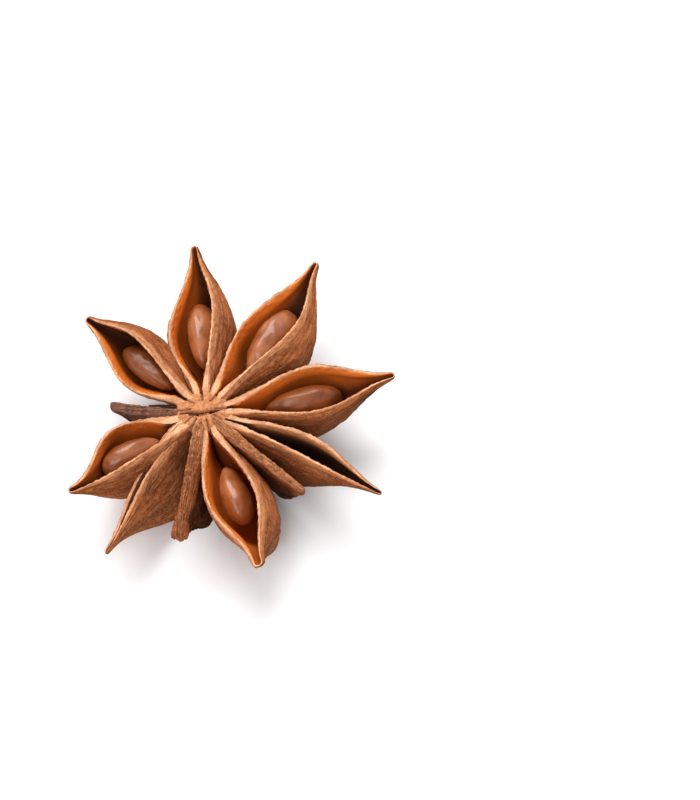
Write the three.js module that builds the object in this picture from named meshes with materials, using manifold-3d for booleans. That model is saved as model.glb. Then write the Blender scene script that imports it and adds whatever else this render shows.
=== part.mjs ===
// Star anise pod lying on its back: eleven boat-shaped carpels grown together round a short
// column, six of them split open over a seed. Millimetres and degrees, +Z up, the table at z = 0,
// and the origin at the middle of the stalk scar, on the axis of the star.
import * as THREE from "three";
import { mergeVertices } from "three/addons/utils/BufferGeometryUtils.js";
import Module from "manifold-3d";

const wasm = await Module();
wasm.setup();

// Sizes that every carpel shares
const HUB_HEIGHT = 8.2; // where the pressed lips meet on the axis
const RIM = 0.46; // thickness of a wall at its lip
const PRESSED_AT_HUB = 0.52; // half the width of two lips pressed together
const PRESSED_AT_TIP = 0.22;
const SEAM_DEPTH = 0.3; // groove between two pressed lips
const SEAM_HALF_WIDTH = 0.1;
const FLOOR = 1; // least thickness of the keel under a hollow
const HOLLOW_SHARE = 0.82; // of the depth, where the gape is wide
const FULL_HOLLOW_AT = 0.9; // half a gape that is wide enough for a full hollow
const KEEL_LEAN = 0.7; // how far the keel follows the middle of the gape sideways
const KEEL_FULLNESS = 2.3; // exponent of the outer section: higher is rounder below
const HOLLOW_FULLNESS = 4; // how squarely the hollow's floor meets its walls
const WALL_GROWTH = 0.15; // how much thicker a wall is at the hollow's floor than at its lip

// Shares of the reach along a carpel
const ROLL_BUILDS = [0.03, 0.36];
const SWELL_BUILDS = [0, 0.35];
const SWELL_FADES = [0.62, 1];
const KEEL_DEEPENS = [0, 0.4];
const HUB_DEPTH_SHARE = 0.8; // depth on the axis, as a share of the full depth
const TIP_RISE_POWER = 2;

// How finely a carpel is faceted
const STATIONS = 14;
const SMALL_STATIONS = 8; // on a carpel that never opened
const SIDE_STEPS = 5;
const LID_RISE = 0.1;

// Column, stalk scar and the plane of the table
const COLUMN_PROFILE = [[0, 0.9], [2.1, 0.9], [2.7, 2.2], [2.2, 6.4], [1.5, 8.1], [0, 7.95]];
const SCAR_RADIUS = 1.5;
const SCAR_HEIGHT = 1.6;
const COLUMN_SIDES = 18;
const TABLE_BLOCK = 60;

// Seeds
const SEED_MERIDIANS = 14;
const SEED_PARALLELS = 10;
const SEED_POINT = 0.2; // how much narrower a seed is at its inner end
const SEED_RIDGE = 0.05; // the seam raised along a seed, as a share of its height

// How a keel rises to the end of its carpel: from and to are shares of the reach, and left is the
// share of the depth that the end keeps.
const BEAK = { from: 0.5, to: 1.06, left: 0.03 };
const HOOKED = { from: 0.3, to: 1, left: 0.15 };
const SLENDER = { from: 0.38, to: 0.98, left: 0.05 };
const BROAD = { from: 0.64, to: 1.03, left: 0.06 };
const BLUNT = { from: 0.7, to: 1.04, left: 0.08 };

// One entry for each carpel, anticlockwise as seen from above, so that left is the anticlockwise
// side. roll turns the opening to the left. bellyLeft and bellyRight are how far the lips stand off
// the line from the axis to the tip, and peakLeft and peakRight where, as shares of the reach.
// pinch draws the lips in at both ends, and swell is how far the walls bulge below the lips.
// A seed's drop is how far its middle lies below the lips, and turn its own turn in the carpel.
const CARPELS = [
  {
    name: "east", azimuth: 10, reach: 20.1, tipHeight: 9.8, roll: 0, depth: 8.68, swell: 0.9,
    bellyLeft: 2.5, peakLeft: 0.61, bellyRight: 1.95, peakRight: 0.58, pinch: 5.6, end: BEAK,
    seed: { at: 0.52, length: 8, thickness: 3.6, height: 4.6, drop: 2.7, turn: 2 },
  },
  {
    name: "north_east", azimuth: 56.8, reach: 21.1, tipHeight: 9.8, roll: 22, depth: 9.35, swell: 0.9,
    bellyLeft: 2.9, peakLeft: 0.58, bellyRight: 2.4, peakRight: 0.57, pinch: 5.6, end: BEAK,
    seed: { at: 0.545, length: 8.4, thickness: 4.1, height: 4.8, drop: 2.4, turn: 2 },
  },
  {
    name: "north", azimuth: 94.4, reach: 19.8, tipHeight: 9.8, roll: 24, depth: 9.5, swell: 0.9,
    bellyLeft: 3.05, peakLeft: 0.52, bellyRight: 1.4, peakRight: 0.62, pinch: 5.4, end: BEAK,
    seed: { at: 0.51, length: 7.6, thickness: 3.5, height: 4.6, drop: 2.6, turn: 0 },
  },
  {
    name: "north_west", azimuth: 140.3, reach: 16.3, tipHeight: 9.8, roll: 42, depth: 8.4, swell: 0.8,
    bellyLeft: 2.6, peakLeft: 0.55, bellyRight: 1.6, peakRight: 0.66, pinch: 5.8, end: BEAK,
    seed: { at: 0.5, length: 7, thickness: 3.2, height: 4, drop: 2, turn: -3 },
  },
  {
    name: "west", azimuth: 177, reach: 9.6, tipHeight: 8.4, roll: 0, depth: 2.8, swell: 0.35,
    bellyLeft: 0.25, peakLeft: 0.6, bellyRight: 0.1, peakRight: 0.6, pinch: 2, end: BLUNT,
  },
  {
    name: "south_west", azimuth: 217.3, reach: 16.7, tipHeight: 9.4, roll: -12, depth: 8.1,
    bellyLeft: 1, peakLeft: 0.72, bellyRight: 4.1, peakRight: 0.49, pinch: 5.4, end: BEAK,
    swell: 0.9, seed: { at: 0.475, length: 6.9, thickness: 3.4, height: 4.2, drop: 2.2, turn: 2 },
  },
  {
    name: "south_south_west", azimuth: 240.5, reach: 19, tipHeight: 8, roll: -30, depth: 8.4, swell: 1.5,
    bellyLeft: -1.9, peakLeft: 0.36, bellyRight: 2.3, peakRight: 0.41, pinch: 3.2, end: HOOKED,
  },
  {
    name: "south", azimuth: 261.4, reach: 14.8, tipHeight: 7.8, roll: -26, depth: 6.4, swell: 0.55,
    bellyLeft: 0.1, peakLeft: 0.6, bellyRight: 0.4, peakRight: 0.6, pinch: 2, end: BLUNT,
  },
  {
    name: "south_south_east", azimuth: 288.1, reach: 19.7, tipHeight: 9.3, roll: -22, depth: 9.35,
    bellyLeft: 1.9, peakLeft: 0.57, bellyRight: 2.3, peakRight: 0.55, pinch: 5.2, end: BROAD,
    swell: 0.9, seed: { at: 0.48, length: 7.4, thickness: 3.4, height: 4.4, drop: 3, turn: 0 },
  },
  {
    name: "south_east", azimuth: 316.5, reach: 14.3, tipHeight: 8.4, roll: 0, depth: 7.6, swell: 0.5,
    bellyLeft: 0.15, peakLeft: 0.6, bellyRight: 0.15, peakRight: 0.6, pinch: 2, end: BLUNT,
  },
  {
    name: "east_south_east", azimuth: 331.2, reach: 21, tipHeight: 8.8, roll: 4, depth: 8.75, swell: 0.75,
    bellyLeft: 2.4, peakLeft: 0.53, bellyRight: -0.7, peakRight: 0.35, pinch: 4.2, end: SLENDER,
  },
];

const BARK = new THREE.MeshStandardMaterial({ color: 0x9a5f38, roughness: 0.85, metalness: 0 });
const SEED_COAT = new THREE.MeshStandardMaterial({ color: 0x9c5533, roughness: 0.3, metalness: 0 });

const { clamp, degToRad, lerp, smoothstep } = THREE.MathUtils;

// Rises from 0 at both ends to 1 at the peak. A higher pinch keeps it near 0 for longer.
function bump(t, peak, pinch) {
  const s = clamp(t, 0, 1);
  return (s / peak) ** (pinch * peak) * ((1 - s) / (1 - peak)) ** (pinch * (1 - peak));
}

// The sizes of a carpel's section at a share t of its reach.
function sectionAt(carpel, t) {
  const pressed = lerp(PRESSED_AT_HUB, PRESSED_AT_TIP, t);
  const left = pressed + carpel.bellyLeft * bump(t, carpel.peakLeft, carpel.pinch);
  const right = -pressed - carpel.bellyRight * bump(t, carpel.peakRight, carpel.pinch);
  const middle = (left + right) / 2;
  const wall = Math.min(RIM, (left - right) / 2 - SEAM_HALF_WIDTH);
  const halfGape = (left - right) / 2 - wall;
  const growth = lerp(HUB_DEPTH_SHARE, 1, smoothstep(t, ...KEEL_DEEPENS));
  const decline = 1 - (1 - carpel.end.left) * smoothstep(t, carpel.end.from, carpel.end.to);
  const depth = carpel.depth * growth * decline;
  const openness = smoothstep(halfGape, SEAM_HALF_WIDTH, FULL_HOLLOW_AT);
  const fullHollow = Math.max(Math.min(depth * HOLLOW_SHARE, depth - FLOOR), SEAM_DEPTH);
  return {
    left,
    right,
    wall,
    keel: KEEL_LEAN * middle,
    depth,
    hollow: lerp(Math.min(SEAM_DEPTH, depth / 2), fullHollow, openness),
    swell: carpel.swell * smoothstep(t, ...SWELL_BUILDS) * (1 - smoothstep(t, ...SWELL_FADES)),
    roll: degToRad(carpel.roll) * smoothstep(t, ...ROLL_BUILDS),
    outward: t * carpel.reach,
    height: lerp(HUB_HEIGHT, carpel.tipHeight, t ** TIP_RISE_POWER),
  };
}

// A point of the star: so far sideways and up from the middle of a carpel's lips, in its section.
function placed(carpel, section, sideways, up) {
  const along = sideways * Math.cos(section.roll) + up * Math.sin(section.roll);
  const above = up * Math.cos(section.roll) - sideways * Math.sin(section.roll);
  return new THREE.Vector3(section.outward, along, section.height + above)
    .applyAxisAngle(new THREE.Vector3(0, 0, 1), degToRad(carpel.azimuth));
}

// How far the outer skin stands from the line of the lips, on one side (1 is left), a share down.
function skinAcross(section, side, down) {
  const lip = side > 0 ? section.left : section.right;
  const bulge = side * section.swell * Math.sin(Math.PI * down);
  return section.keel + (lip - section.keel) * (1 - down ** KEEL_FULLNESS) + bulge;
}

// The middle and half the width of the hollow, a share of its own depth down.
function hollowAcross(section, down) {
  const level = (down * section.hollow) / section.depth;
  const left = skinAcross(section, 1, level);
  const right = skinAcross(section, -1, level);
  const wall = section.wall + WALL_GROWTH * down;
  const half = Math.max((left - right) / 2 - wall, SEAM_HALF_WIDTH);
  return { middle: (left + right) / 2, half: half * Math.sqrt(1 - down ** HOLLOW_FULLNESS) };
}

// The outer skin and the hollow of one section, both from the left lip round to the right one. The
// hollow goes on to a lid above the lips, so that it cuts clear of them.
function sectionRings(carpel, t) {
  const section = sectionAt(carpel, t);
  const skin = [];
  const hollow = [];
  for (let step = -SIDE_STEPS; step <= SIDE_STEPS; step += 1) {
    const side = step > 0 ? -1 : 1;
    const down = Math.sin((1 - Math.abs(step) / SIDE_STEPS) * (Math.PI / 2));
    skin.push(placed(carpel, section, skinAcross(section, side, down), -section.depth * down));
    const { middle, half } = hollowAcross(section, down);
    hollow.push(placed(carpel, section, middle + side * half, -section.hollow * down));
  }
  const { middle, half } = hollowAcross(section, 0);
  hollow.push(placed(carpel, section, middle - half, LID_RISE));
  hollow.push(placed(carpel, section, middle + half, LID_RISE));
  return { skin, hollow };
}

// A closed surface over a row of rings that have the same number of points.
function skinnedGeometry(rings) {
  const size = rings[0].length;
  const last = (rings.length - 1) * size;
  const index = [];
  for (let start = 0; start < last; start += size) {
    for (let k = 0; k < size; k += 1) {
      const here = start + k;
      const next = start + ((k + 1) % size);
      index.push(here, here + size, next + size, here, next + size, next);
    }
  }
  for (let k = 1; k < size - 1; k += 1) {
    index.push(0, k, k + 1, last, last + k + 1, last + k);
  }
  return new THREE.BufferGeometry().setFromPoints(rings.flat()).setIndex(index);
}

function solidFrom(geometry) {
  const bare = geometry.clone();
  bare.deleteAttribute("normal");
  bare.deleteAttribute("uv");
  const merged = mergeVertices(bare, 1e-4);
  return new wasm.Manifold(new wasm.Mesh({
    numProp: 3,
    vertProperties: new Float32Array(merged.getAttribute("position").array),
    triVerts: new Uint32Array(merged.index.array),
  }));
}

function geometryFrom(solid) {
  const { vertProperties, triVerts } = solid.getMesh();
  const geometry = new THREE.BufferGeometry();
  geometry.setAttribute("position", new THREE.BufferAttribute(vertProperties, 3));
  geometry.setIndex(new THREE.BufferAttribute(triVerts, 1));
  geometry.computeVertexNormals();
  return geometry;
}

// A carpel's outside and its hollow. The hollow leaves the last of the lips pressed at both ends.
function carpelSolids(carpel) {
  const stations = carpel.end === BLUNT ? SMALL_STATIONS : STATIONS;
  const rings = [];
  for (let station = 0; station <= stations; station += 1) {
    rings.push(sectionRings(carpel, station / stations));
  }
  const hollows = rings.map(({ hollow }) => hollow).slice(1, -1);
  return {
    outside: solidFrom(skinnedGeometry(rings.map(({ skin }) => skin))),
    hollow: solidFrom(skinnedGeometry(hollows)),
  };
}

function columnGeometry() {
  const profile = COLUMN_PROFILE.map(([radius, height]) => new THREE.Vector2(radius, height));
  return new THREE.LatheGeometry(profile, COLUMN_SIDES).rotateX(Math.PI / 2);
}

function scarGeometry() {
  return new THREE.CylinderGeometry(SCAR_RADIUS, SCAR_RADIUS, SCAR_HEIGHT, COLUMN_SIDES)
    .rotateX(Math.PI / 2)
    .translate(0, 0, SCAR_HEIGHT / 2);
}

// An egg with a faint ridge along its back, its narrow end towards the axis.
function seedGeometry({ length, thickness, height }) {
  const egg = new THREE.SphereGeometry(1, SEED_MERIDIANS, SEED_PARALLELS).rotateZ(-Math.PI / 2);
  const places = egg.getAttribute("position");
  for (let i = 0; i < places.count; i += 1) {
    const x = places.getX(i);
    const y = places.getY(i);
    const z = places.getZ(i);
    const taper = 1 + SEED_POINT * (x - 1) / 2;
    const ridge = z > 0 ? SEED_RIDGE * (1 - Math.abs(y)) ** 4 * z : 0;
    places.setXYZ(i, x * length / 2, y * taper * thickness / 2, (z * taper + ridge) * height / 2);
  }
  return egg;
}

// Where a seed lies: its middle in the middle of the hollow at its depth, rolled with the carpel.
function placeSeed(mesh, carpel) {
  const { at, drop, turn } = carpel.seed;
  const section = sectionAt(carpel, at);
  const { middle } = hollowAcross(section, drop / section.hollow);
  mesh.position.copy(placed(carpel, section, middle, -drop));
  mesh.rotation.set(-section.roll, 0, degToRad(carpel.azimuth + turn), "ZYX");
}

// The whole fruit as one piece: the hollows are cut once all the carpels have grown together, and
// the keels are cut flat where they reach the table.
function podGeometry() {
  const carpels = CARPELS.map(carpelSolids);
  let fruit = solidFrom(columnGeometry()).add(solidFrom(scarGeometry()));
  for (const { outside } of carpels) {
    fruit = fruit.add(outside);
  }
  for (const { hollow } of carpels) {
    fruit = fruit.subtract(hollow);
  }
  const below = new THREE.BoxGeometry(TABLE_BLOCK, TABLE_BLOCK, TABLE_BLOCK)
    .translate(0, 0, -TABLE_BLOCK / 2);
  return geometryFrom(fruit.subtract(solidFrom(below)));
}

const starAnise = new THREE.Group();

const pod = new THREE.Mesh(podGeometry(), BARK);
pod.name = "pod";
starAnise.add(pod);

for (const carpel of CARPELS.filter(({ seed }) => seed)) {
  const seed = new THREE.Mesh(seedGeometry(carpel.seed), SEED_COAT);
  seed.name = `seed_${carpel.name}`;
  placeSeed(seed, carpel);
  starAnise.add(seed);
}

export default starAnise;
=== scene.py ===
"""Looks of a star anise pod: a husk of eleven boat-shaped carpels round a hub, and its seeds.

Every piece is modelled in millimetres, in the row frame, and is shrunk to metres when it is done.
"""

import logging
import math
from dataclasses import dataclass, field
from enum import Enum
from typing import Callable, Optional, Union

import bmesh
import bpy
from mathutils import Euler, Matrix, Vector


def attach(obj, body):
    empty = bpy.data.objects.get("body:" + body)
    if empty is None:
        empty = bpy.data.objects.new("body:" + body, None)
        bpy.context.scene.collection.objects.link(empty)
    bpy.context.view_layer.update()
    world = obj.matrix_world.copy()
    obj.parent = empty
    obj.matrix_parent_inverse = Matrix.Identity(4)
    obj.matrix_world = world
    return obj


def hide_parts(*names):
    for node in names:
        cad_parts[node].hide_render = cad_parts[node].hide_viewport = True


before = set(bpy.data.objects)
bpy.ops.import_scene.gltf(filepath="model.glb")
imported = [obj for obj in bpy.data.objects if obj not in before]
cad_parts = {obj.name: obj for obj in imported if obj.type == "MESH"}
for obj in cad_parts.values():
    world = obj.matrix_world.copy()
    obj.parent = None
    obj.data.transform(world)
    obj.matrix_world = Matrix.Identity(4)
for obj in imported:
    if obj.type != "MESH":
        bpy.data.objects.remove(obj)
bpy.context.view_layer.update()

log = logging.getLogger("star_anise")

MM = 0.001
HUB_HEIGHT = 8.2
FOOT = 0.01
NEAR = 1e-4
BESIDE_LIP = 0.25

Colour = tuple[float, float, float]
Span = tuple[float, float]
Number = Union[float, "Wire"]
Piece = bpy.types.Object
Material = bpy.types.Material


def smoothstep(value: float, low: float, high: float) -> float:
    """Returns the share, from 0 to 1, of a soft rise that starts at low and ends at high."""
    share = min(max((value - low) / (high - low), 0.0), 1.0)
    return share * share * (3.0 - 2.0 * share)


def lerp(start: float, end: float, share: float) -> float:
    """Returns the value at a share of the way from start to end."""
    return start + (end - start) * share


class Surface(Enum):
    """The surfaces of a carpel's wall, in the order of its material slots."""

    OUTSIDE = 0
    INSIDE = 1
    LIP = 2


class End(Enum):
    """How a keel rises to its carpel's end: the shares of the reach it rises between, and the
    share of the depth that is left at the end."""

    BEAK = (0.5, 1.06, 0.03)
    HOOKED = (0.3, 1.0, 0.06)
    SLENDER = (0.38, 0.98, 0.05)
    BROAD = (0.64, 1.03, 0.06)
    BLUNT = (0.7, 1.04, 0.08)
    ROD = (0.6, 0.97, 0.2)


@dataclass(frozen=True)
class Section:
    """A carpel's section at one station, in millimetres and radians.

    left and right are where the lips are, and keel where the keel is, sideways from the line from
    the axis to the tip.
    """

    left: float
    right: float
    keel: float
    depth: float
    roll: float
    outward: float
    height: float


@dataclass(frozen=True)
class SeedPlace:
    """A seed's size in millimetres, and how it lies in its carpel."""

    share: float
    length: float
    thickness: float
    height: float
    drop: float
    turn: float = 0.0
    aside: float = 0.0
    # deep gives the seed the darker coat: painted shade for a seed that lies in shadow.
    deep: bool = False


@dataclass(frozen=True)
class Carpel:
    """One carpel, in millimetres and degrees. Left is the anticlockwise side seen from above."""

    name: str
    azimuth: float
    reach: float
    tip_height: float
    roll: float
    depth: float
    fullness: float
    left_belly: Span
    right_belly: Span
    pinch: float
    end: End
    seed: Optional[SeedPlace] = None
    sealed: bool = False
    withered: bool = False
    pressed_at_hub: float = 0.6
    pressed_at_tip: float = 0.36
    flare: float = 0.0
    hub_depth_share: float = 0.8
    hub_dip: float = 0.5
    fused: float = 0.16
    dry: bool = False
    keel_lean: float = 0.7
    seam: float = 0.22
    least_gap: float = 0.03
    opens_at: float = 2.5
    most_of_width: float = 0.5
    hub_height: float = HUB_HEIGHT
    # dark_from, dark_to, dark_beak, least_gloom, lit_side and shaded_gloom set the lining's
    # painted shade; deep down it is partly the lining's own darker colour too. flank_dark darkens
    # the outside towards the keel: partly the husk's own darker keel, partly painted shade.
    # lip_dark is the lips' own tone.
    dark_from: float = 0.08
    dark_to: float = 0.75
    dark_beak: float = 0.8
    lip_dark: float = 0.0
    flank_dark: float = 0.3
    flank_levels: Span = (0.14, 0.7)
    edge_level: float = 0.02
    edge_gloom: float = -0.3
    least_gloom: float = 0.0
    lit_side: float = 1.0
    shaded_gloom: float = 0.6
    # The same in all carpels: spans in millimetres from the axis, in shares of the reach, or in
    # levels, which are shares of the way from the lip down to the keel.
    fused_rise: Span = (0.8, 3.0)
    fused_fall: Span = (3.6, 8.0)
    dip_span: Span = (0.4, 1.5)
    opening_span: Span = (-0.4, 0.9)
    flare_shares: Span = (0.78, 1.0)
    growth_shares: Span = (0.0, 0.4)
    roll_shares: Span = (0.03, 0.36)
    hub_shares: Span = (0.15, 0.45)
    # hub_gloom, hub_relief, the beak and cleft spans and cleft_dark set painted shade.
    hub_gloom: float = 0.3
    hub_relief: float = 0.6
    beak_shares: Span = (0.62, 0.95)
    beak_levels: Span = (0.06, 0.4)
    edge_glooms: Span = (0.2, 0.5)
    cleft_shares: Span = (0.15, 0.6)
    cleft_levels: Span = (0.06, 0.32)
    cleft_dark: float = 0.45
    tip_shares: Span = (0.86, 0.98)
    lip_shares: Span = (0.18, 0.4)
    lip_levels: Span = (0.04, 0.16)

    def bump(self, share: float, peak: float) -> float:
        """Rises from 0 at both ends of the carpel to 1 at a peak, another share of the reach."""
        inner = (share / peak) ** (self.pinch * peak)
        return inner * ((1.0 - share) / (1.0 - peak)) ** (self.pinch * (1.0 - peak))

    def section(self, share: float) -> Section:
        """Works out the section at a share of the reach.

        Args:
            share: Share of the reach, 0 on the axis and 1 at the tip.

        Returns:
            The section's sizes.
        """
        outward = share * self.reach
        fused = self.fused * smoothstep(outward, *self.fused_rise)
        fused *= 1.0 - smoothstep(outward, *self.fused_fall)
        pressed = lerp(self.pressed_at_hub, self.pressed_at_tip, share) + fused
        pressed += self.flare * smoothstep(share, *self.flare_shares)
        left = pressed + self.left_belly[0] * self.bump(share, self.left_belly[1])
        right = -pressed - self.right_belly[0] * self.bump(share, self.right_belly[1])
        rises_from, rises_to, end_share = self.end.value
        growth = lerp(self.hub_depth_share, 1.0, smoothstep(share, *self.growth_shares))
        decline = 1.0 - (1.0 - end_share) * smoothstep(share, rises_from, rises_to)
        return Section(
            left=left,
            right=right,
            keel=self.keel_lean * (left + right) / 2.0,
            depth=self.depth * growth * decline,
            roll=math.radians(self.roll) * smoothstep(share, *self.roll_shares),
            outward=outward,
            height=lerp(self.hub_height, self.tip_height, share**2)
            - self.hub_dip * (1.0 - smoothstep(outward, *self.dip_span)),
        )

    def gloom(self, share: float, level: float, side: float) -> float:
        """Gives how dark the lining is: painted shade of the hollow, near the hub, in the beak,
        on the wall turned from the light and in the slit that is still shut; deep down partly its
        own darker colour.

        Args:
            share: Share of the reach.
            level: Share of the way from the lip down to the keel.
            side: Above 0 on the left wall, below 0 on the right one.

        Returns:
            Below 0 on the lip's edge, 0 beside it where the lining is bright, 1 in the deepest
            painted shade.
        """
        # Painted shade: deeper in the hollow (there partly the lining's own darker colour), near
        # the hub, in the beak, on the wall turned from the light and in the slit that is still
        # shut.
        near_hub = 1.0 - smoothstep(share, *self.hub_shares)
        depth = smoothstep(level, self.dark_from, self.dark_to)
        depth *= 1.0 - self.hub_relief * near_hub
        depth = max(depth, self.least_gloom, self.hub_gloom * near_hub)
        beak = self.dark_beak * smoothstep(share, *self.beak_shares)
        beak *= smoothstep(level, *self.beak_levels)
        shaded = 0.0 if side * self.lit_side > 0.0 else self.shaded_gloom
        past_opening = share * self.reach - self.opens_at
        suture = 1.0 - smoothstep(past_opening, *self.opening_span)
        dark = max(depth, beak, shaded, suture)
        if level < self.edge_level:
            return lerp(self.edge_gloom, dark, smoothstep(dark, *self.edge_glooms))
        return dark

    def shade(self, share: float, level: float) -> float:
        """Gives how dark the outside is: painted shade in the clefts between the carpels, and
        towards the keel partly the husk's own darker keel and partly painted shade.

        Args:
            share: Share of the reach.
            level: Share of the way from the lip down to the keel.

        Returns:
            0 at the pale lip, BESIDE_LIP next to it, up to 1 in the painted shade of the clefts
            between the carpels.
        """
        # Painted shade in the clefts between the carpels.
        cleft = 1.0 - smoothstep(share, *self.cleft_shares)
        cleft *= self.cleft_dark * smoothstep(level, *self.cleft_levels)
        # Darker towards the keel: partly the husk's own darker keel, partly painted shade.
        flank = self.flank_dark * (1.0 - smoothstep(share, *self.tip_shares))
        dark = flank * smoothstep(level, *self.flank_levels) + cleft
        lip_dark = self.lip_dark * smoothstep(share, *self.lip_shares)
        beside = max(BESIDE_LIP * smoothstep(level, *self.lip_levels), lip_dark)
        return min(beside + dark, 1.0)


CARPELS = (
    Carpel(
        "east", 10.0, 20.1, 9.8, 0.0, 8.68, 0.36, (2.85, 0.57), (1.95, 0.58), 5.5, End.BEAK,
        SeedPlace(0.53, 8.2, 4.0, 4.8, 2.6, 2.0, deep=True), flank_dark=0.45, opens_at=3.0,
        flank_levels=(0.0, 0.07), dark_to=1.0, dark_beak=0.7,
    ),
    Carpel(
        "north_east", 56.8, 21.1, 9.8, 22.0, 9.35, 0.34, (2.95, 0.54), (2.5, 0.62), 5.5, End.BEAK,
        SeedPlace(0.55, 8.6, 4.5, 5.0, 2.3, 2.0), opens_at=2.0, flank_dark=0.45,
        flank_levels=(0.28, 0.6), least_gloom=0.15,
    ),
    Carpel(
        "north", 94.4, 19.8, 9.8, 24.0, 9.5, 0.44, (3.05, 0.52), (1.4, 0.62), 5.4, End.BEAK,
        SeedPlace(0.53, 7.9, 3.8, 4.8, 2.6, 0.0), opens_at=2.1, dark_to=1.0,
        dark_beak=0.65,
    ),
    Carpel(
        "north_west", 140.3, 16.3, 9.8, 42.0, 8.4, 0.36, (2.6, 0.55), (1.6, 0.66), 5.8, End.BEAK,
        SeedPlace(0.51, 7.2, 3.5, 4.2, 2.0, -3.0, deep=True), opens_at=3.0,
    ),
    Carpel(
        "west", 177.0, 9.6, 8.4, -10.0, 2.4, 0.4, (0.35, 0.75), (0.2, 0.7), 2.0, End.BLUNT,
        sealed=True, withered=True, pressed_at_hub=0.1, pressed_at_tip=0.3, seam=0.1,
        fused=0.0, hub_height=7.6, flank_dark=0.9, lip_dark=0.1,
    ),
    Carpel(
        "west_fold", 168.5, 5.9, 6.9, 15.0, 2.6, 0.3, (0.4, 0.5), (0.4, 0.5), 2.0, End.SLENDER,
        sealed=True, withered=True, pressed_at_hub=0.3, pressed_at_tip=0.15, seam=0.1,
        fused=0.0, hub_height=7.1, lip_dark=0.6, flank_dark=0.9,
    ),
    Carpel(
        "south_west", 217.7, 16.7, 9.4, -12.0, 8.1, 0.36, (0.4, 0.75), (4.1, 0.49), 5.4, End.BEAK,
        SeedPlace(0.5, 6.8, 3.7, 4.2, 2.2, -8.0, aside=-0.25), opens_at=3.4,
        lit_side=-1.0, flank_dark=0.1, least_gloom=0.45,
    ),
    Carpel(
        "south_south_west", 240.5, 19.0, 8.0, -30.0, 8.4, 0.9, (-1.9, 0.36), (2.3, 0.41), 3.2,
        End.HOOKED, dry=True, most_of_width=1.0, dark_from=0.02, dark_to=0.08, dark_beak=1.0,
        flank_dark=-0.08, pressed_at_tip=0.15,
    ),
    Carpel(
        "south", 261.4, 14.8, 7.8, -21.0, 6.8, 0.3, (0.1, 0.5), (0.1, 0.5), 2.0, End.ROD,
        sealed=True, pressed_at_hub=0.3, pressed_at_tip=0.32, flare=0.45, seam=0.0,
        flank_dark=0.8, flank_levels=(0.05, 0.3), lip_dark=0.16,
    ),
    Carpel(
        "south_south_east", 288.1, 19.7, 9.3, -22.0, 9.35, 0.38, (1.9, 0.57), (2.35, 0.5), 5.2,
        End.BROAD, SeedPlace(0.475, 6.9, 3.5, 4.4, 2.7, 0.0, aside=-0.22), dark_from=0.35,
        dark_to=1.5, dark_beak=0.0, pressed_at_tip=0.5, lit_side=-1.0, shaded_gloom=0.65,
    ),
    Carpel(
        "south_east", 317.3, 14.3, 8.4, -8.0, 7.6, 0.5, (0.1, 0.6), (0.15, 0.6), 2.0, End.BLUNT,
        sealed=True, pressed_at_hub=0.28, pressed_at_tip=0.2, seam=0.1, flank_dark=0.6,
        flank_levels=(0.05, 0.22),
    ),
    Carpel(
        "east_south_east", 331.2, 21.0, 8.8, 4.0, 8.75, 0.36, (2.4, 0.53), (-0.7, 0.35), 4.2,
        End.SLENDER, dry=True, dark_from=0.05, dark_to=0.16, dark_beak=1.0, flank_dark=0.4,
        opens_at=4.6, pressed_at_tip=0.22,
    ),
)


class Wire:
    """A shader socket that arithmetic can be written with."""

    def __init__(self, graph: "Graph", socket: bpy.types.NodeSocket) -> None:
        """Keeps the socket and the graph that it belongs to."""
        self.graph = graph
        self.socket = socket

    def math(self, operation: str, *others: Number) -> "Wire":
        """Runs this socket and others through a Math node."""
        return self.graph.math(operation, self, *others)

    def __add__(self, other: Number) -> "Wire":
        """Adds."""
        return self.math("ADD", other)

    def __sub__(self, other: Number) -> "Wire":
        """Subtracts."""
        return self.math("SUBTRACT", other)

    def __rsub__(self, other: Number) -> "Wire":
        """Subtracts this from another value."""
        return self.graph.math("SUBTRACT", other, self)

    def __mul__(self, other: Number) -> "Wire":
        """Multiplies."""
        return self.math("MULTIPLY", other)

    __radd__ = __add__
    __rmul__ = __mul__

    def between(self, low: float, high: float) -> "Wire":
        """Rises softly from 0 at low to 1 at high.

        Args:
            low: Where the rise starts.
            high: Where the rise ends.

        Returns:
            A share from 0 to 1.
        """
        limits = {"Value": self, "From Min": low, "From Max": high}
        return self.graph.wire("MapRange", "Result", limits, interpolation_type="SMOOTHSTEP")


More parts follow.
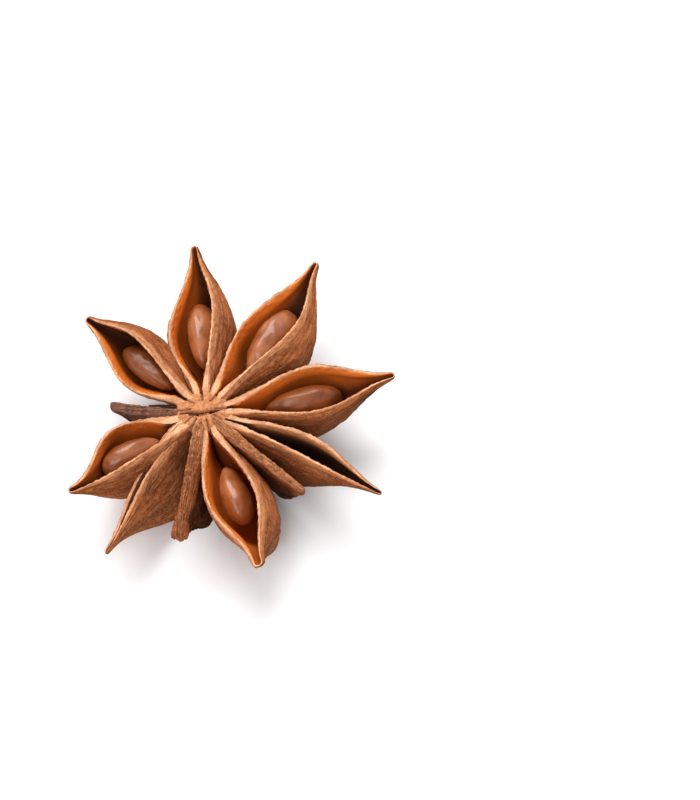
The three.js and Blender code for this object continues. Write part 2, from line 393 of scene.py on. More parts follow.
class Graph:
    """The node graph of one material."""

    def __init__(self, name: str) -> None:
        """Starts a material with an empty graph.

        Args:
            name: The material's name.
        """
        self.material = bpy.data.materials.new(name)
        self.material.use_nodes = True
        self.tree = self.material.node_tree
        self.tree.nodes.clear()

    def node(self, kind: str, inputs: dict, **settings: str) -> bpy.types.Node:
        """Adds a node.

        Args:
            kind: The node's type, without the words that all types of nodes begin with.
            inputs: Its inputs by name or number: a Wire is linked, anything else is set.
            settings: Its properties by name.

        Returns:
            The node.
        """
        made = self.tree.nodes.new(f"ShaderNode{kind}")
        for name, value in settings.items():
            setattr(made, name, value)
        for name, value in inputs.items():
            if isinstance(value, Wire):
                self.tree.links.new(value.socket, made.inputs[name])
            else:
                made.inputs[name].default_value = value
        return made

    def wire(self, kind: str, output: Union[int, str], inputs: dict, **settings: str) -> Wire:
        """Adds a node and gives the output that has a name or number."""
        return Wire(self, self.node(kind, inputs, **settings).outputs[output])

    def math(self, operation: str, *values: Number) -> Wire:
        """Adds a Math node, with its inputs in order, and gives its result."""
        return self.wire("Math", 0, dict(enumerate(values)), operation=operation)

    def place(self) -> Wire:
        """Gives the Object coordinates in millimetres."""
        inputs = {0: self.wire("TexCoord", "Object", {}), "Scale": 1.0 / MM}
        return self.wire("VectorMath", 0, inputs, operation="SCALE")

    def fibre(self) -> Wire:
        """Gives the coordinates that run along and round a carpel."""
        return self.wire("UVMap", "UV", {}, uv_map="fibre")

    def attribute(self, name: str) -> Wire:
        """Gives a number that the piece's points carry under a name."""
        return self.wire("Attribute", "Fac", {}, attribute_name=name)

    def noise(self, vector: Wire, scale: float, detail: float = 4.0, rough: float = 0.55) -> Wire:
        """Adds a noise about 0.5, with so many finer layers, which are so strong."""
        inputs = {"Vector": vector, "Scale": scale, "Detail": detail, "Roughness": rough}
        return self.wire("TexNoise", "Fac", inputs)

    def stretch(self, vector: Wire, scale: Colour) -> Wire:
        """Stretches coordinates by a factor along each axis."""
        return self.wire("Mapping", "Vector", {"Vector": vector, "Scale": scale})

    def mix(self, share: Number, first: Union[Colour, Wire], second: Union[Colour, Wire]) -> Wire:
        """Mixes two colours.

        Args:
            share: How much of the second.
            first: A colour.
            second: A colour.

        Returns:
            The mixed colour.
        """
        inputs = {0: share}
        for number, colour in ((6, first), (7, second)):
            inputs[number] = colour if isinstance(colour, Wire) else (*colour, 1.0)
        return self.wire("Mix", 2, inputs, data_type="RGBA")

    def bump(self, height: Wire, distance: float, strength: float = 1.0) -> Wire:
        """Turns a height, in shares of a distance in millimetres, into a normal."""
        inputs = {"Height": height, "Distance": distance * MM, "Strength": strength}
        return self.wire("Bump", "Normal", inputs)

    def finish(self, inputs: dict) -> Material:
        """Ends the graph in a shader.

        Args:
            inputs: The shader's inputs by name.

        Returns:
            The material.
        """
        self.node("OutputMaterial", {"Surface": self.wire("BsdfPrincipled", "BSDF", inputs)})
        return self.material


@dataclass(frozen=True)
class HuskFinish:
    """The dry fibrous outside of the husk, with painted shade in its clefts and creases."""

    name: str = "husk_outside"
    pale: Colour = (0.69, 0.29, 0.128)
    light: Colour = (0.44, 0.133, 0.039)
    middle: Colour = (0.275, 0.068, 0.017)
    dark: Colour = (0.045, 0.011, 0.004)
    roughness: float = 0.8
    specular: float = 0.12
    relief: float = 0.26
    cloud_scale: float = 0.32
    blotch_scale: float = 2.0
    wrinkle_scale: float = 1.2
    fibre_scale: float = 3.4
    speck_scale: float = 6.5
    along_fibre: bool = True

    def make(self) -> Material:
        """Makes the material.

        Returns:
            The material.
        """
        graph = Graph(self.name)
        place = graph.place()
        grain = graph.fibre() if self.along_fibre else place
        clouds = graph.noise(place, self.cloud_scale, 3.0)
        blotches = graph.noise(place, self.blotch_scale, 5.0, 0.7)
        wrinkles = graph.noise(grain, self.wrinkle_scale, 5.0, 0.65)
        creases = (wrinkles - 0.5).math("ABSOLUTE").between(0.045, 0.0)
        fibres = graph.noise(grain, self.fibre_scale, 4.0, 0.65)
        specks = graph.noise(place, self.speck_scale, 3.0, 0.6)
        # shade carries the pale band by the lip, and painted shade in the clefts and on the lower
        # flanks.
        shade = graph.attribute("shade")
        colour = graph.mix(clouds.between(0.36, 0.68), self.middle, self.light)
        layers = (
            (shade.between(BESIDE_LIP, 0.0) * (0.8 + (blotches - 0.5) * 1.2), self.pale),
            (blotches.between(0.5, 0.7) * 0.4, self.pale),
            (blotches.between(0.48, 0.32) * 0.35, self.dark),
            (fibres.between(0.52, 0.66) * 0.4, self.pale),
            (fibres.between(0.48, 0.34) * 0.35, self.dark),
            (specks.between(0.52, 0.66) * 0.4, self.pale),
            # Painted shade in the creases of the wrinkles, which the bump also sinks.
            (creases * 0.2, self.dark),
            # Painted shade in the clefts and on the lower flanks, partly the husk's own darker
            # keel.
            (shade.between(BESIDE_LIP, 1.0) * (0.9 + (blotches - 0.5) * 1.4), self.dark),
        )
        for share, tint in layers:
            colour = graph.mix(share, colour, tint)
        relief = wrinkles * 0.4 + fibres * 0.3 + blotches * 0.25 + specks * 0.2 - creases * 0.1
        return graph.finish({
            "Base Color": colour,
            "Roughness": self.roughness + (specks - 0.5) * 0.2,
            "Normal": graph.bump(relief, self.relief),
            "Specular IOR Level": self.specular,
        })


@dataclass(frozen=True)
class LiningFinish:
    """The smooth orange-brown lining of a carpel, darker in its depth and towards its beak."""

    name: str = "husk_lining"
    edge: Colour = (0.52, 0.200, 0.075)
    bright: Colour = (0.74, 0.175, 0.022)
    # middle and deep paint the shade of the hollow over the bright lining; deep down the lining
    # is partly its own darker colour too.
    middle: Colour = (0.44, 0.095, 0.012)
    deep: Colour = (0.060, 0.015, 0.005)
    roughness: float = 0.6
    specular: float = 0.15
    relief: float = 0.04
    vein_scale: float = 1.5
    cloud_scale: float = 0.5

    def make(self) -> Material:
        """Makes the material.

        Returns:
            The material.
        """
        graph = Graph(self.name)
        place = graph.place()
        veins = graph.noise(graph.stretch(graph.fibre(), (1.0, 1.6, 1.0)), self.vein_scale, 3.0)
        clouds = graph.noise(place, self.cloud_scale, 2.0)
        # gloom carries the painted shade of the hollow, see Carpel.gloom.
        gloom = graph.attribute("gloom") + (clouds - 0.5) * 0.3
        colour = graph.mix(gloom.between(-0.3, -0.1), self.edge, self.bright)
        # Painted shade deeper in the hollow and towards the beak.
        colour = graph.mix(gloom.between(0.0, 0.5), colour, self.middle)
        colour = graph.mix(gloom.between(0.35, 1.0), colour, self.deep)
        colour = graph.mix(veins.between(0.52, 0.75) * 0.12, colour, self.deep)
        return graph.finish({
            "Base Color": colour,
            "Roughness": self.roughness + (veins - 0.5) * 0.2,
            "Normal": graph.bump(veins, self.relief, 0.4),
            "Specular IOR Level": self.specular,
        })


@dataclass(frozen=True)
class LipFinish:
    """The pale torn edge where a carpel's wall split."""

    name: str = "husk_lip"
    pale: Colour = (0.86, 0.47, 0.27)
    brown: Colour = (0.46, 0.185, 0.085)
    roughness: float = 0.75
    specular: float = 0.2
    relief: float = 0.12
    tear_scale: float = 4.5
    cloud_scale: float = 0.5

    def make(self) -> Material:
        """Makes the material.

        Returns:
            The material.
        """
        graph = Graph(self.name)
        place = graph.place()
        torn = graph.noise(place, self.tear_scale, 5.0, 0.7)
        clouds = graph.noise(place, self.cloud_scale, 3.0)
        colour = graph.mix(clouds.between(0.62, 0.36) * 0.7, self.pale, self.brown)
        colour = graph.mix(torn.between(0.54, 0.38) * 0.5, colour, self.brown)
        return graph.finish({
            "Base Color": colour,
            "Roughness": self.roughness + (torn - 0.5) * 0.2,
            "Normal": graph.bump(torn, self.relief, 0.8),
            "Specular IOR Level": self.specular,
        })


@dataclass(frozen=True)
class SeedFinish:
    """The hard polished coat of a seed."""

    name: str = "seed_coat"
    chestnut: Colour = (0.26, 0.066, 0.015)
    rosy: Colour = (0.41, 0.130, 0.042)
    dark: Colour = (0.10, 0.024, 0.006)
    roughness: float = 0.36
    coat_weight: float = 0.5
    coat_roughness: float = 0.13
    specular: float = 0.35
    relief: float = 0.03
    cloud_scale: float = 0.38
    streak_scale: float = 1.8

    def make(self) -> Material:
        """Makes the material.

        Returns:
            The material.
        """
        graph = Graph(self.name)
        place = graph.place()
        clouds = graph.noise(place, self.cloud_scale, 3.0)
        streaks = graph.noise(place, self.streak_scale, 4.0, 0.6)
        colour = graph.mix(clouds.between(0.35, 0.66), self.chestnut, self.rosy)
        colour = graph.mix(streaks.between(0.58, 0.8) * 0.5, colour, self.dark)
        return graph.finish({
            "Base Color": colour,
            "Roughness": self.roughness + (streaks - 0.5) * 0.25,
            "Normal": graph.bump(streaks, self.relief, 0.5),
            "Specular IOR Level": self.specular,
            "Coat Weight": self.coat_weight,
            "Coat Roughness": self.coat_roughness,
        })


@dataclass(frozen=True)
class FloorFinish:
    """The white table under the pod."""

    name: str = "white_table"
    white: Colour = (0.92, 0.92, 0.925)
    shade: Colour = (0.89, 0.89, 0.90)
    roughness: float = 0.75
    specular: float = 0.2
    cloud_scale: float = 0.01

    def make(self) -> Material:
        """Makes the material.

        Returns:
            The material.
        """
        graph = Graph(self.name)
        clouds = graph.noise(graph.place(), self.cloud_scale, 2.0)
        return graph.finish({
            "Base Color": graph.mix(clouds, self.white, self.shade),
            "Roughness": self.roughness,
            "Specular IOR Level": self.specular,
        })


def material_of(kind: type, **changes: object) -> Material:
    """Gives a field whose default is the material of a kind of finish, with changes to it."""
    return field(default_factory=lambda: kind(**changes).make())


def resize(x: float, y: float, z: float, height: float = 0.0) -> None:
    """Scales what is selected about a point of the axis, which is at a height."""
    bpy.ops.transform.resize(value=(x, y, z), center_override=(0.0, 0.0, height))


def shift(x: float, y: float, z: float) -> None:
    """Moves what is selected."""
    bpy.ops.transform.translate(value=(x, y, z))


def edit(kind: str) -> None:
    """Opens the active piece for editing by its points or its faces."""
    bpy.ops.object.mode_set(mode="EDIT")
    bpy.ops.mesh.select_mode(type=kind)


def added(name: str) -> Piece:
    """Names the object that was just added, and returns it."""
    bpy.context.active_object.name = name
    return bpy.context.active_object


def pull(height: float, reach: float) -> None:
    """Moves the selected points up by a height, and softly those within a reach of them."""
    bpy.ops.transform.translate(
        value=(0.0, 0.0, height), use_proportional_edit=True,
        proportional_edit_falloff="SMOOTH", proportional_size=reach,
    )


def pick(piece: Piece, wanted: Callable[[bmesh.types.BMVert], bool]) -> None:
    """Selects points of the piece that is being edited.

    Args:
        piece: The piece, in edit mode.
        wanted: Says whether a point is wanted.
    """
    mesh = bmesh.from_edit_mesh(piece.data)
    mesh.verts.index_update()
    for face in mesh.faces:
        face.select_set(False)
    for edge in mesh.edges:
        edge.select_set(False)
    for point in mesh.verts:
        point.select_set(wanted(point))
    mesh.select_flush(True)
    bmesh.update_edit_mesh(piece.data, loop_triangles=False, destructive=False)


def modify(piece: Piece, kind: str, **settings: object) -> None:
    """Adds a modifier to a piece and applies it.

    Args:
        piece: The piece, active and in object mode.
        kind: The modifier's type.
        settings: Its properties.
    """
    modifier = piece.modifiers.new(kind.title(), kind)
    for name, value in settings.items():
        setattr(modifier, name, value)
    bpy.ops.object.modifier_apply(modifier=modifier.name)


def roughen(piece: Piece, *lumps: Span, **settings: str) -> None:
    """Moves a piece's points in and out by cloudy noises.

    Args:
        piece: The piece, active and in object mode.
        lumps: For each noise the size of its lumps, in the units of the coordinates, and how far
            they move the points in all, in millimetres.
        settings: Further settings of the modifiers.
    """
    for size, height in lumps:
        clouds = bpy.data.textures.new(f"{piece.name}_lumps", "CLOUDS")
        clouds.noise_scale = size
        clouds.noise_depth = 3
        places = {"texture_coords": "LOCAL", **settings}
        modify(piece, "DISPLACE", texture=clouds, strength=height, mid_level=0.5, **places)


def carry(piece: Piece, name: str, values: list[float]) -> None:
    """Gives each point of a piece a number, under a name that a material can read."""
    piece.data.attributes.new(name, "FLOAT", "POINT").data.foreach_set("value", values)


def stand(piece: Piece) -> None:
    """Flattens what reaches below the table on to it.

    Args:
        piece: The piece, active and in object mode, in millimetres.
    """
    bpy.ops.object.mode_set(mode="EDIT")
    pick(piece, lambda point: point.co.z < FOOT)
    resize(1.0, 1.0, 0.0, FOOT)
    bpy.ops.object.mode_set(mode="OBJECT")


def settle(piece: Piece, azimuth: float = 0.0) -> None:
    """Turns a finished piece to its azimuth, shrinks it to metres and applies both.

    Args:
        piece: The piece, active and in object mode, in millimetres.
        azimuth: Its turn about the star's axis, in degrees.
    """
    piece.rotation_euler = (0.0, 0.0, math.radians(azimuth))
    piece.scale = (MM, MM, MM)
    bpy.ops.object.transform_apply()
    bpy.ops.object.shade_smooth()


@dataclass
class Husk:
    """The husk: its carpels, each a bent wall with two lips, or sealed where it never opened."""

    carpels: tuple[Carpel, ...] = CARPELS
    lip: float = 0.3
    wall: float = 0.85
    deep_wall: float = 0.55
    deep_wall_at_hub: float = 1.0
    wall_at_hub: float = 0.9
    thickest: float = 1.6
    least_flat: float = 0.25
    most_of_depth: float = 0.3
    rim_crease: float = 0.75
    levels: tuple[float, ...] = (0.0, 0.035, 0.13, 0.27, 0.43, 0.59, 0.74, 0.88, 1.0)
    stations: int = 22
    roundness: float = 2.3
    dome: float = 0.42
    fibre_stretch: float = 6.0
    template_at: float = -50.0
    section_slack: float = 0.01
    # The spans of thickness() and of the weights in mark(), as in Carpel.
    slope_rise: Span = (0.0, 0.1)
    slope_fall: Span = (0.16, 0.4)
    deep_levels: Span = (0.0, 0.2)
    deep_span: Span = (4.0, 11.0)
    wall_span: Span = (2.5, 7.0)
    room_span: Span = (3.0, 8.0)
    closing: Span = (-0.5, 0.7)
    lip_levels: Span = (0.03, 0.1)
    lip_ends: Span = (0.8, 1.0)
    lip_fade: float = 0.7
    keel_levels: Span = (0.4, 0.9)
    keel_walls: Span = (0.25, 0.5)
    firm_walls: Span = (0.02, 0.32)
    wrinkles: tuple[Span, ...] = ((1.7, 0.4), (0.7, 0.2), (0.25, 0.12))
    torn_lips: tuple[Span, ...] = ((0.5, 0.26), (0.22, 0.1))
    keel_lumps: Span = (1.1, 0.5)
    outside: Material = material_of(HuskFinish)
    withered: Material = material_of(
        HuskFinish, name="husk_withered", pale=(0.42, 0.20, 0.125), light=(0.13, 0.052, 0.034),
        middle=(0.06, 0.022, 0.015), dark=(0.012, 0.005, 0.004),
    )
    inside: Material = material_of(LiningFinish)
    # The dry lining's middle and deep are painted shade as well, over its tan.
    dry_inside: Material = material_of(
        LiningFinish, name="husk_lining_dry", bright=(0.42, 0.155, 0.055),
        middle=(0.14, 0.045, 0.016), deep=(0.035, 0.011, 0.005), roughness=0.7,
    )
    rim: Material = material_of(LipFinish)

    def half_width(self, carpel: Carpel, level: float) -> float:
        """Gives the half width of a carpel's unit section at a level."""
        return 1.0 - level**self.roundness + carpel.fullness * math.sin(math.pi * level)

    def template(self, carpel: Carpel) -> Piece:
        """Makes a carpel's section at unit size: half a ring, or a whole one if it is sealed.

        Args:
            carpel: The carpel.

        Returns:
            The piece, in edit mode.
        """
        across = 4 * (len(self.levels) - 1)
        turn = (math.pi / 2, 0.0, math.pi / 2)
        bpy.ops.mesh.primitive_circle_add(vertices=across, radius=1.0, rotation=turn)
        piece = added(f"carpel_{carpel.name}")
        bpy.ops.object.transform_apply()
        edit("VERT")
        for index, level in enumerate(self.levels[1:-1], start=1):
            angle = math.pi / 2 * index / (len(self.levels) - 1)
            sideways = self.half_width(carpel, level) / math.cos(angle)
            pick(piece, lambda point: abs(point.co.z + math.sin(angle)) < NEAR)
            resize(1.0, sideways, level / math.sin(angle))
        if not carpel.sealed:
            pick(piece, lambda point: point.co.z > NEAR)
            bpy.ops.mesh.delete(type="VERT")
        else:
            pick(piece, lambda point: point.co.z > 1.0 - NEAR)
            shift(0.0, 0.0, -carpel.seam / self.dome)
        bpy.ops.mesh.select_all(action="SELECT")
        shift(self.template_at, 0.0, 0.0)
        return piece

    def lay_section(self, piece: Piece, section: Section) -> None:
        """Copies the unit section to its station, and gives the copy its size, roll and height.

        Args:
            piece: The carpel, in edit mode.
            section: The section's sizes.
        """
        self.pick_sections(piece, self.template_at)
        bpy.ops.mesh.duplicate()
        out = section.outward
        shift(out - self.template_at, 0.0, 0.0)
        quarters = (
            (lambda place: place.y > NEAR, section.left - section.keel, 1.0),
            (lambda place: place.y < -NEAR, section.keel - section.right, 1.0),
            (lambda place: place.z < -NEAR, 1.0, section.depth),
            (lambda place: place.z > NEAR, 1.0, self.dome),
        )
        for inside, sideways, upright in quarters:
            pick(piece, lambda point: self.lies_at(point, out) and inside(point.co))
            resize(1.0, sideways, upright)
        self.pick_sections(piece, out)
        shift(0.0, section.keel, 0.0)
        bpy.ops.transform.rotate(
            value=section.roll, orient_axis="X", center_override=(0.0, 0.0, 0.0)
        )
        shift(0.0, 0.0, section.height)

    def lies_at(self, point: bmesh.types.BMVert, outward: float) -> bool:
        """Says whether a point is on the section that is so far out."""
        return abs(point.co.x - outward) < self.section_slack

    def pick_sections(self, piece: Piece, *outwards: float) -> None:
        """Selects whole sections of the carpel that is being edited, by how far out they are."""
        pick(piece, lambda point: any(self.lies_at(point, outward) for outward in outwards))

    def skin(self, carpel: Carpel) -> Piece:
        """Lays a carpel's sections from the axis to its tip and bridges them.

        Args:
            carpel: The carpel.

        Returns:
            The piece, in object mode.
        """
        piece = self.template(carpel)
        sections = [carpel.section(n / self.stations) for n in range(self.stations + 1)]
        for index, section in enumerate(sections):
            self.lay_section(piece, section)
            if index:
                self.pick_sections(piece, sections[index - 1].outward, section.outward)
                bpy.ops.mesh.bridge_edge_loops()
        closed = (sections[0], sections[-1]) if carpel.sealed else (sections[-1],)
        for section in closed:
            self.pick_sections(piece, section.outward)
            bpy.ops.mesh.edge_face_add()
        self.pick_sections(piece, self.template_at)
        bpy.ops.mesh.delete(type="VERT")
        bpy.ops.mesh.select_all(action="SELECT")
        bpy.ops.mesh.normals_make_consistent(inside=False)
        bpy.ops.object.mode_set(mode="OBJECT")
        self.mark(piece, carpel)
        return piece

    def mark(self, piece: Piece, carpel: Carpel) -> None:
        """Marks each point with its place on the carpel, and how thick the wall is there.

        Args:
            piece: The carpel's skin, in object mode.
            carpel: The carpel.
        """
        mesh = piece.data
        names = ("wall", "lips", "keel", "outside")
        groups = {name: piece.vertex_groups.new(name=name) for name in names}
        shares, around, glooms, shades = [], [], [], []
        for point in mesh.vertices:
            share = round(point.co.x / carpel.reach * self.stations) / self.stations
            section = carpel.section(share)
            up = point.co.z - section.height
            down = -point.co.y * math.sin(section.roll) - up * math.cos(section.roll)
            side = point.co.y * math.cos(section.roll) - up * math.sin(section.roll)
            side -= section.keel
            level = min(max(down / section.depth, 0.0), 1.0)
            width = (section.left - section.right) / 2.0
            on_top = down < -self.section_slack
            wall = self.thickness(carpel, section, level)
            firm = self.thickest if carpel.sealed else wall
            lips = 1.0 - self.lip_fade * smoothstep(share, *self.lip_ends)
            weights = {
                "wall": wall / self.thickest,
                "lips": (1.0 - smoothstep(level, *self.lip_levels)) * lips,
                "keel": smoothstep(level, *self.keel_levels) * smoothstep(firm, *self.keel_walls),
                "outside": smoothstep(firm, *self.firm_walls),
            }
            for name, weight in weights.items():
                groups[name].add([point.index], weight, "REPLACE")
            shares.append(share)
            unrolled = side / width if on_top else math.copysign(1.0 - level, side)
            around.append(carpel.depth * unrolled)
            glooms.append(carpel.gloom(share, level, side))
            shades.append(carpel.shade(share, level))
        # gloom and shade carry painted shade, of the lining and of the outside.
        carry(piece, "gloom", glooms)
        carry(piece, "shade", shades)
        places = []
        for loop in mesh.loops:
            along = carpel.reach * shares[loop.vertex_index] + carpel.azimuth
            places += [along / self.fibre_stretch, around[loop.vertex_index]]
        mesh.uv_layers.new(name="fibre").data.foreach_set("uv", places)

    def spare_lining(self, piece: Piece) -> None:
        """Takes the lining out of the groups of points that make the outside ragged.

        Args:
            piece: The carpel, in object mode.
        """
        lining = piece.vertex_groups["lining"].index
        inner = [
            point.index for point in piece.data.vertices
            if any(link.group == lining and link.weight > 0.5 for link in point.groups)
        ]
        for name in ("keel", "outside"):
            piece.vertex_groups[name].remove(inner)

    def thickness(self, carpel: Carpel, section: Section, level: float) -> float:
        """Works out how thick the wall is: thin at the lip, with a slope down into the hollow.

        Args:
            carpel: The carpel.
            section: Its section there.
            level: Share of the way from the lip down to the keel.

        Returns:
            The thickness in millimetres.
        """
        slope = smoothstep(level, *self.slope_rise) * (1.0 - smoothstep(level, *self.slope_fall))
        out = section.outward
        deep = lerp(self.deep_wall_at_hub, self.deep_wall, smoothstep(out, *self.deep_span))
        deep = lerp(self.lip, deep, smoothstep(level, *self.deep_levels))
        outer = lerp(deep, self.wall, slope)
        wall = lerp(self.wall_at_hub, outer, smoothstep(out, *self.wall_span))
        closed = 1.0 - smoothstep(out - carpel.opens_at, *self.closing)
        wall = lerp(wall, self.thickest, closed)
        full = max(self.half_width(carpel, level), self.least_flat)
        room = (section.left - section.right) / 2.0 * full - carpel.least_gap
        room *= lerp(1.0, carpel.most_of_width, smoothstep(out, *self.room_span))
        return min(wall, room, self.most_of_depth * section.depth)

    def build(self) -> list[Piece]:
        """Makes every carpel.

        Returns:
            The carpels.
        """
        made = []
        for carpel in self.carpels:
            piece = self.skin(carpel)
            outside = self.withered if carpel.withered else self.outside
            inside = self.dry_inside if carpel.dry else self.inside
            for material in (outside, inside, self.rim):
                piece.data.materials.append(material)
            piece.vertex_groups.new(name="lining")
            if not carpel.sealed:
                modify(
                    piece, "SOLIDIFY", thickness=self.thickest, offset=-1.0,
                    vertex_group="wall", shell_vertex_group="lining", use_rim=True,
                    material_offset=Surface.INSIDE.value, material_offset_rim=Surface.LIP.value,
                    edge_crease_rim=self.rim_crease,
                )
            self.spare_lining(piece)
            modify(piece, "SUBSURF", levels=3)
            along = {"texture_coords": "UV", "uv_layer": "fibre"}
            roughen(piece, *self.wrinkles, vertex_group="outside", **along)
            roughen(piece, *self.torn_lips, vertex_group="lips")
            roughen(piece, self.keel_lumps, vertex_group="keel")
            stand(piece)
            settle(piece, carpel.azimuth)
            made.append(piece)
        return made


@dataclass
class Hub:
    """The crown where the carpels' lips run together, over the column that they grow on."""

    radius: float = 2.55
    oval: float = 1.15
    rise: float = 0.4
    crown_depth: float = 1.1
    crown_top: float = 0.9
    segments: int = 160
    rings: int = 110
    # How far a ridge, a groove or a crease rises, its width and the reach of its soft edge.
    ridge: Colour = (0.16, 0.12, 0.35)
    groove: Colour = (-0.26, 0.04, 0.16)
    crease: Colour = (-0.5, 0.06, 0.34)
    grooves_from: float = 1.25
    creases: tuple[tuple[float, ...], ...] = (
        (-2.2, -0.3, -0.3, -0.52), (-0.3, -0.52, 0.5, -0.3), (0.5, -0.3, 1.9, 0.04),
    )
    crown_lumps: tuple[Span, ...] = ((0.5, 0.14), (0.16, 0.06))
    # groove_shade, groove_edge, crease_edge and sunk place painted shade on the crown.
    groove_shade: float = 0.7
    groove_edge: Span = (0.03, 0.16)
    crease_edge: Span = (0.1, 0.32)
    sunk: Span = (0.1, 0.7)
    column_radius: float = 1.5
    column_foot: float = 1.4
    column_rings: tuple[Span, ...] = ((2.4, 0.2), (2.7, 1.4), (2.2, 4.2))
    column_bevel: float = 0.15
    column_lumps: Span = (0.6, 0.25)
    column_shade: float = 0.65
    scar_height: float = 0.12
    scar_shade: float = 0.35
    azimuths: tuple[float, ...] = tuple(
        carpel.azimuth for carpel in CARPELS if not carpel.withered or carpel.name == "west"
    )
    finish: Material = material_of(
        HuskFinish, name="husk_crown", middle=(0.54, 0.195, 0.075), light=(0.66, 0.265, 0.11),
        along_fibre=False,
    )

    def crown(self) -> Piece:
        """Makes the crown: a flattened ball with ridges between the carpels, and a crease.

        Returns:
            The crown.
        """
        bpy.ops.mesh.primitive_uv_sphere_add(segments=self.segments, ring_count=self.rings)
        piece = added("hub_crown")
        piece.scale = (self.radius * self.oval, self.radius, self.crown_depth)
        piece.location = (0.0, 0.0, HUB_HEIGHT + self.rise - self.crown_depth)
        bpy.ops.object.transform_apply()
        edit("VERT")
        azimuths = sorted(self.azimuths)
        for azimuth, following in zip(azimuths, azimuths[1:] + [azimuths[0] + 360.0]):
            middle = (azimuth + following) / 2.0
            for turn, (rise, width, reach) in ((middle, self.ridge), (azimuth, self.groove)):
                line = self.ray(turn)
                pick(piece, lambda point: self.on_ray(point.co, line, width))
                pull(rise, reach)
        rise, width, reach = self.crease
        for ends in self.creases:
            pick(
                piece,
                lambda point: self.on_top(point.co) and self.to_crease(point.co, ends) < width,
            )
            pull(rise, reach)
        bpy.ops.object.mode_set(mode="OBJECT")
        self.mark(piece)
        roughen(piece, *self.crown_lumps)
        piece.data.materials.append(self.finish)
        settle(piece)
        return piece

    def ray(self, azimuth: float) -> Vector:
        """Gives the direction of an azimuth in degrees."""
        return Vector((math.cos(math.radians(azimuth)), math.sin(math.radians(azimuth))))

    def mark(self, piece: Piece) -> None:
        """Marks how dark each point of the crown is: painted shade, which is most in its grooves
        and crease and where it sinks low.

        Args:
            piece: The crown, in object mode.
        """
        rays = [self.ray(azimuth) for azimuth in self.azimuths]
        shades = []
        for point in piece.data.vertices:
            flat = point.co.xy
            nearest = [ray * max(flat.dot(ray), self.grooves_from) for ray in rays]
            to_groove = min((flat - place).length for place in nearest)
            to_crease = min(self.to_crease(point.co, ends) for ends in self.creases)
            # Painted shade in the grooves, in the crease and where the crown sinks under the
            # lips.
            groove = self.groove_shade * (1.0 - smoothstep(to_groove, *self.groove_edge))
            crease = 1.0 - smoothstep(to_crease, *self.crease_edge)
            sunk = smoothstep(HUB_HEIGHT - point.co.z, *self.sunk)
            shades.append(max(groove, sunk, crease))
        carry(piece, "shade", shades)

    def on_ray(self, place: Vector, line: Vector, width: float) -> bool:
        """Says whether a point of the crown's top is near a line from the axis.

        Args:
            place: The point.
            line: The line's direction.
            width: How near is near.

        Returns:
            Whether it is.
        """
        along = place.xy.dot(line)
        near = (place.xy - line * along).length < width
        return near and along > self.grooves_from and self.on_top(place)

    def on_top(self, place: Vector) -> bool:
        """Says whether a point of the crown is on its top."""
        return place.z > HUB_HEIGHT - self.crown_top

    def to_crease(self, place: Vector, ends: tuple[float, ...]) -> float:
        """Measures how far a point is from a crease, seen from above.

        Args:
            place: The point.
            ends: The x and y of the crease's two ends.

        Returns:
            The distance in millimetres.
        """
        start, end = Vector(ends[:2]), Vector(ends[2:])
        line = end - start
        share = min(max((place.xy - start).dot(line) / line.length_squared, 0.0), 1.0)
        return (place.xy - start - line * share).length

    def column(self) -> Piece:
        """Makes the column under the crown, with the scar of the stalk at its foot.

        Returns:
            The column.
        """
        bpy.ops.mesh.primitive_cylinder_add(
            vertices=48, radius=self.column_radius, depth=self.column_foot,
            location=(0.0, 0.0, self.column_foot / 2.0),
        )
        piece = added("column")
        bpy.ops.object.transform_apply()
        edit("FACE")
        top, last = self.column_foot, self.column_radius
        for radius, height in self.column_rings:
            pick(piece, lambda point: point.co.z > top - NEAR)
            bpy.ops.mesh.extrude_region_move(TRANSFORM_OT_translate={"value": (0.0, 0.0, height)})
            resize(radius / last, radius / last, 1.0)
            top, last = top + height, radius
        bpy.ops.object.mode_set(mode="OBJECT")
        modify(piece, "BEVEL", width=self.column_bevel, segments=2)
        modify(piece, "SUBSURF", levels=2)
        roughen(piece, self.column_lumps)
        stand(piece)
        shades = [
            self.scar_shade if point.co.z < self.scar_height else self.column_shade
            for point in piece.data.vertices
        ]
        carry(piece, "shade", shades)
        piece.data.materials.append(self.finish)
        settle(piece)
        return piece

    def build(self) -> list[Piece]:
        """Makes the crown and the column, and returns both."""
        return [self.crown(), self.column()]


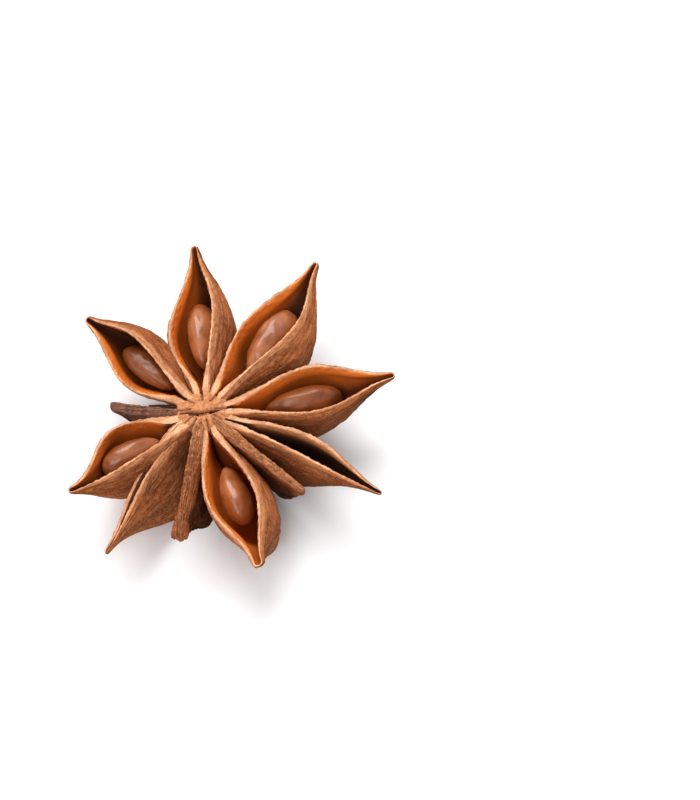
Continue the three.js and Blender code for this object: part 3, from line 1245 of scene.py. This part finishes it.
@dataclass
class Seeds:
    """The seeds that lie in the open carpels."""

    carpels: tuple[Carpel, ...] = tuple(carpel for carpel in CARPELS if carpel.seed)
    point: float = 0.28
    ridge: float = 0.12
    ridge_from: float = 0.3
    ridge_width: float = 0.02
    ridge_reach: float = 0.4
    segments: int = 48
    rings: int = 24
    lumps: tuple[Span, ...] = ((1.6, 0.26), (0.5, 0.05))
    rosy: Material = material_of(SeedFinish)
    # A darker, less glossy copy of the coat: painted shade for the seeds that lie in shadow.
    deep: Material = material_of(
        SeedFinish, name="seed_coat_painted_shade", chestnut=(0.14, 0.032, 0.005),
        rosy=(0.24, 0.062, 0.012), dark=(0.07, 0.015, 0.004), coat_weight=0.2,
    )

    def egg(self, carpel: Carpel) -> Piece:
        """Makes a seed: an egg with a faint ridge, its narrow end towards the axis.

        Args:
            carpel: The carpel that it lies in.

        Returns:
            The seed, at the origin of its own length, in object mode.
        """
        bpy.ops.mesh.primitive_uv_sphere_add(
            segments=self.segments, ring_count=self.rings, rotation=(0.0, math.pi / 2, 0.0)
        )
        piece = added(f"seed_coat_{carpel.name}")
        bpy.ops.object.transform_apply()
        edit("VERT")
        for ring in range(1, self.rings):
            along = math.cos(math.pi * ring / self.rings)
            pick(piece, lambda point: abs(point.co.x - along) < NEAR)
            factor = 1.0 + self.point * (along - 1.0) / 2.0
            resize(1.0, factor, factor)
        pick(
            piece,
            lambda point: point.co.z > self.ridge_from and abs(point.co.y) < self.ridge_width,
        )
        pull(self.ridge / 2.0, self.ridge_reach)
        bpy.ops.object.mode_set(mode="OBJECT")
        return piece

    def build(self) -> list[Piece]:
        """Makes every seed and lays it in its carpel.

        Returns:
            The seeds.
        """
        made = []
        for carpel in self.carpels:
            seed = carpel.seed
            section = carpel.section(seed.share)
            piece = self.egg(carpel)
            piece.scale = (seed.length / 2.0, seed.thickness / 2.0, seed.height / 2.0)
            bpy.ops.object.transform_apply()
            modify(piece, "SUBSURF", levels=1)
            roughen(piece, *self.lumps)
            piece.rotation_euler = (-section.roll, 0.0, math.radians(seed.turn))
            inside = Vector((0.0, section.keel + seed.aside, -seed.drop))
            inside.rotate(Euler((-section.roll, 0.0, 0.0)))
            piece.location = inside + Vector((section.outward, 0.0, section.height))
            bpy.ops.object.transform_apply()
            piece.data.materials.append(self.deep if seed.deep else self.rosy)
            settle(piece, carpel.azimuth)
            made.append(piece)
        return made


@dataclass
class Studio:
    """The white table, the soft lights and the camera."""

    elevation: float = 58.0
    distance: float = 280.0
    aside: float = 15.15
    above: float = 1.134
    lens: float = 122.2
    clip_start: float = 0.01
    table_size: float = 4000.0
    room_light: float = 0.75
    lights: tuple[tuple[str, Colour, float, float], ...] = (
        ("sky_light", (-60.0, 240.0, 420.0), 320.0, 1.8),
        ("front_light", (-160.0, -320.0, 380.0), 300.0, 0.9),
    )

    def table(self) -> Piece:
        """Makes the table.

        Returns:
            The table.
        """
        bpy.ops.mesh.primitive_plane_add(size=self.table_size)
        piece = added("table")
        piece.data.materials.append(FloorFinish().make())
        settle(piece)
        return piece

    def light(self, name: str, place: Colour, size: float, power: float) -> None:
        """Adds a soft square light that faces the pod.

        Args:
            name: Its name.
            place: Where it is, in millimetres.
            size: Its side, in millimetres.
            power: Its power, in watts.
        """
        bpy.ops.object.light_add(type="AREA", location=Vector(place) * MM)
        lamp = added(name)
        lamp.data.size = size * MM
        lamp.data.energy = power
        lamp.rotation_euler = Vector(place).to_track_quat("Z", "Y").to_euler()

    def world(self) -> None:
        """Makes the room's even white light."""
        world = bpy.data.worlds.new("white_room")
        bpy.context.scene.world = world
        world.use_nodes = True
        background = world.node_tree.nodes["Background"]
        background.inputs["Color"].default_value = (1.0, 1.0, 1.0, 1.0)
        background.inputs["Strength"].default_value = self.room_light

    def camera(self) -> None:
        """Adds the camera, which looks down at the pod."""
        tilt = math.radians(self.elevation)
        ahead = Vector((0.0, math.cos(tilt), -math.sin(tilt)))
        up = Vector((0.0, math.sin(tilt), math.cos(tilt)))
        hub = Vector((0.0, 0.0, HUB_HEIGHT))
        place = hub - ahead * self.distance + up * self.above + Vector((self.aside, 0.0, 0.0))
        bpy.ops.object.camera_add(location=place * MM, rotation=(math.pi / 2 - tilt, 0.0, 0.0))
        camera = bpy.context.active_object
        camera.data.lens = self.lens
        camera.data.clip_start = self.clip_start
        bpy.context.scene.camera = camera

    def build(self) -> None:
        """Sets the whole stage."""
        self.table()
        self.world()
        for name, place, size, power in self.lights:
            self.light(name, place, size, power)
        self.camera()
        bpy.context.scene.view_settings.view_transform = "Standard"
        log.info("stage set")


def main() -> None:
    """Builds the pod and its stage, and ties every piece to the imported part."""
    logging.basicConfig(level=logging.INFO, format="%(name)s %(message)s")
    Studio().build()
    for piece in Husk().build() + Hub().build():
        log.info("%s: %d faces", piece.name, len(piece.data.polygons))
        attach(piece, "root")
        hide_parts("pod")
    for piece, carpel in zip(Seeds().build(), Seeds.carpels):
        log.info("%s: %d faces", piece.name, len(piece.data.polygons))
        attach(piece, "root")
        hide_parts(f"seed_{carpel.name}")


if __name__ == "__main__":
    main()
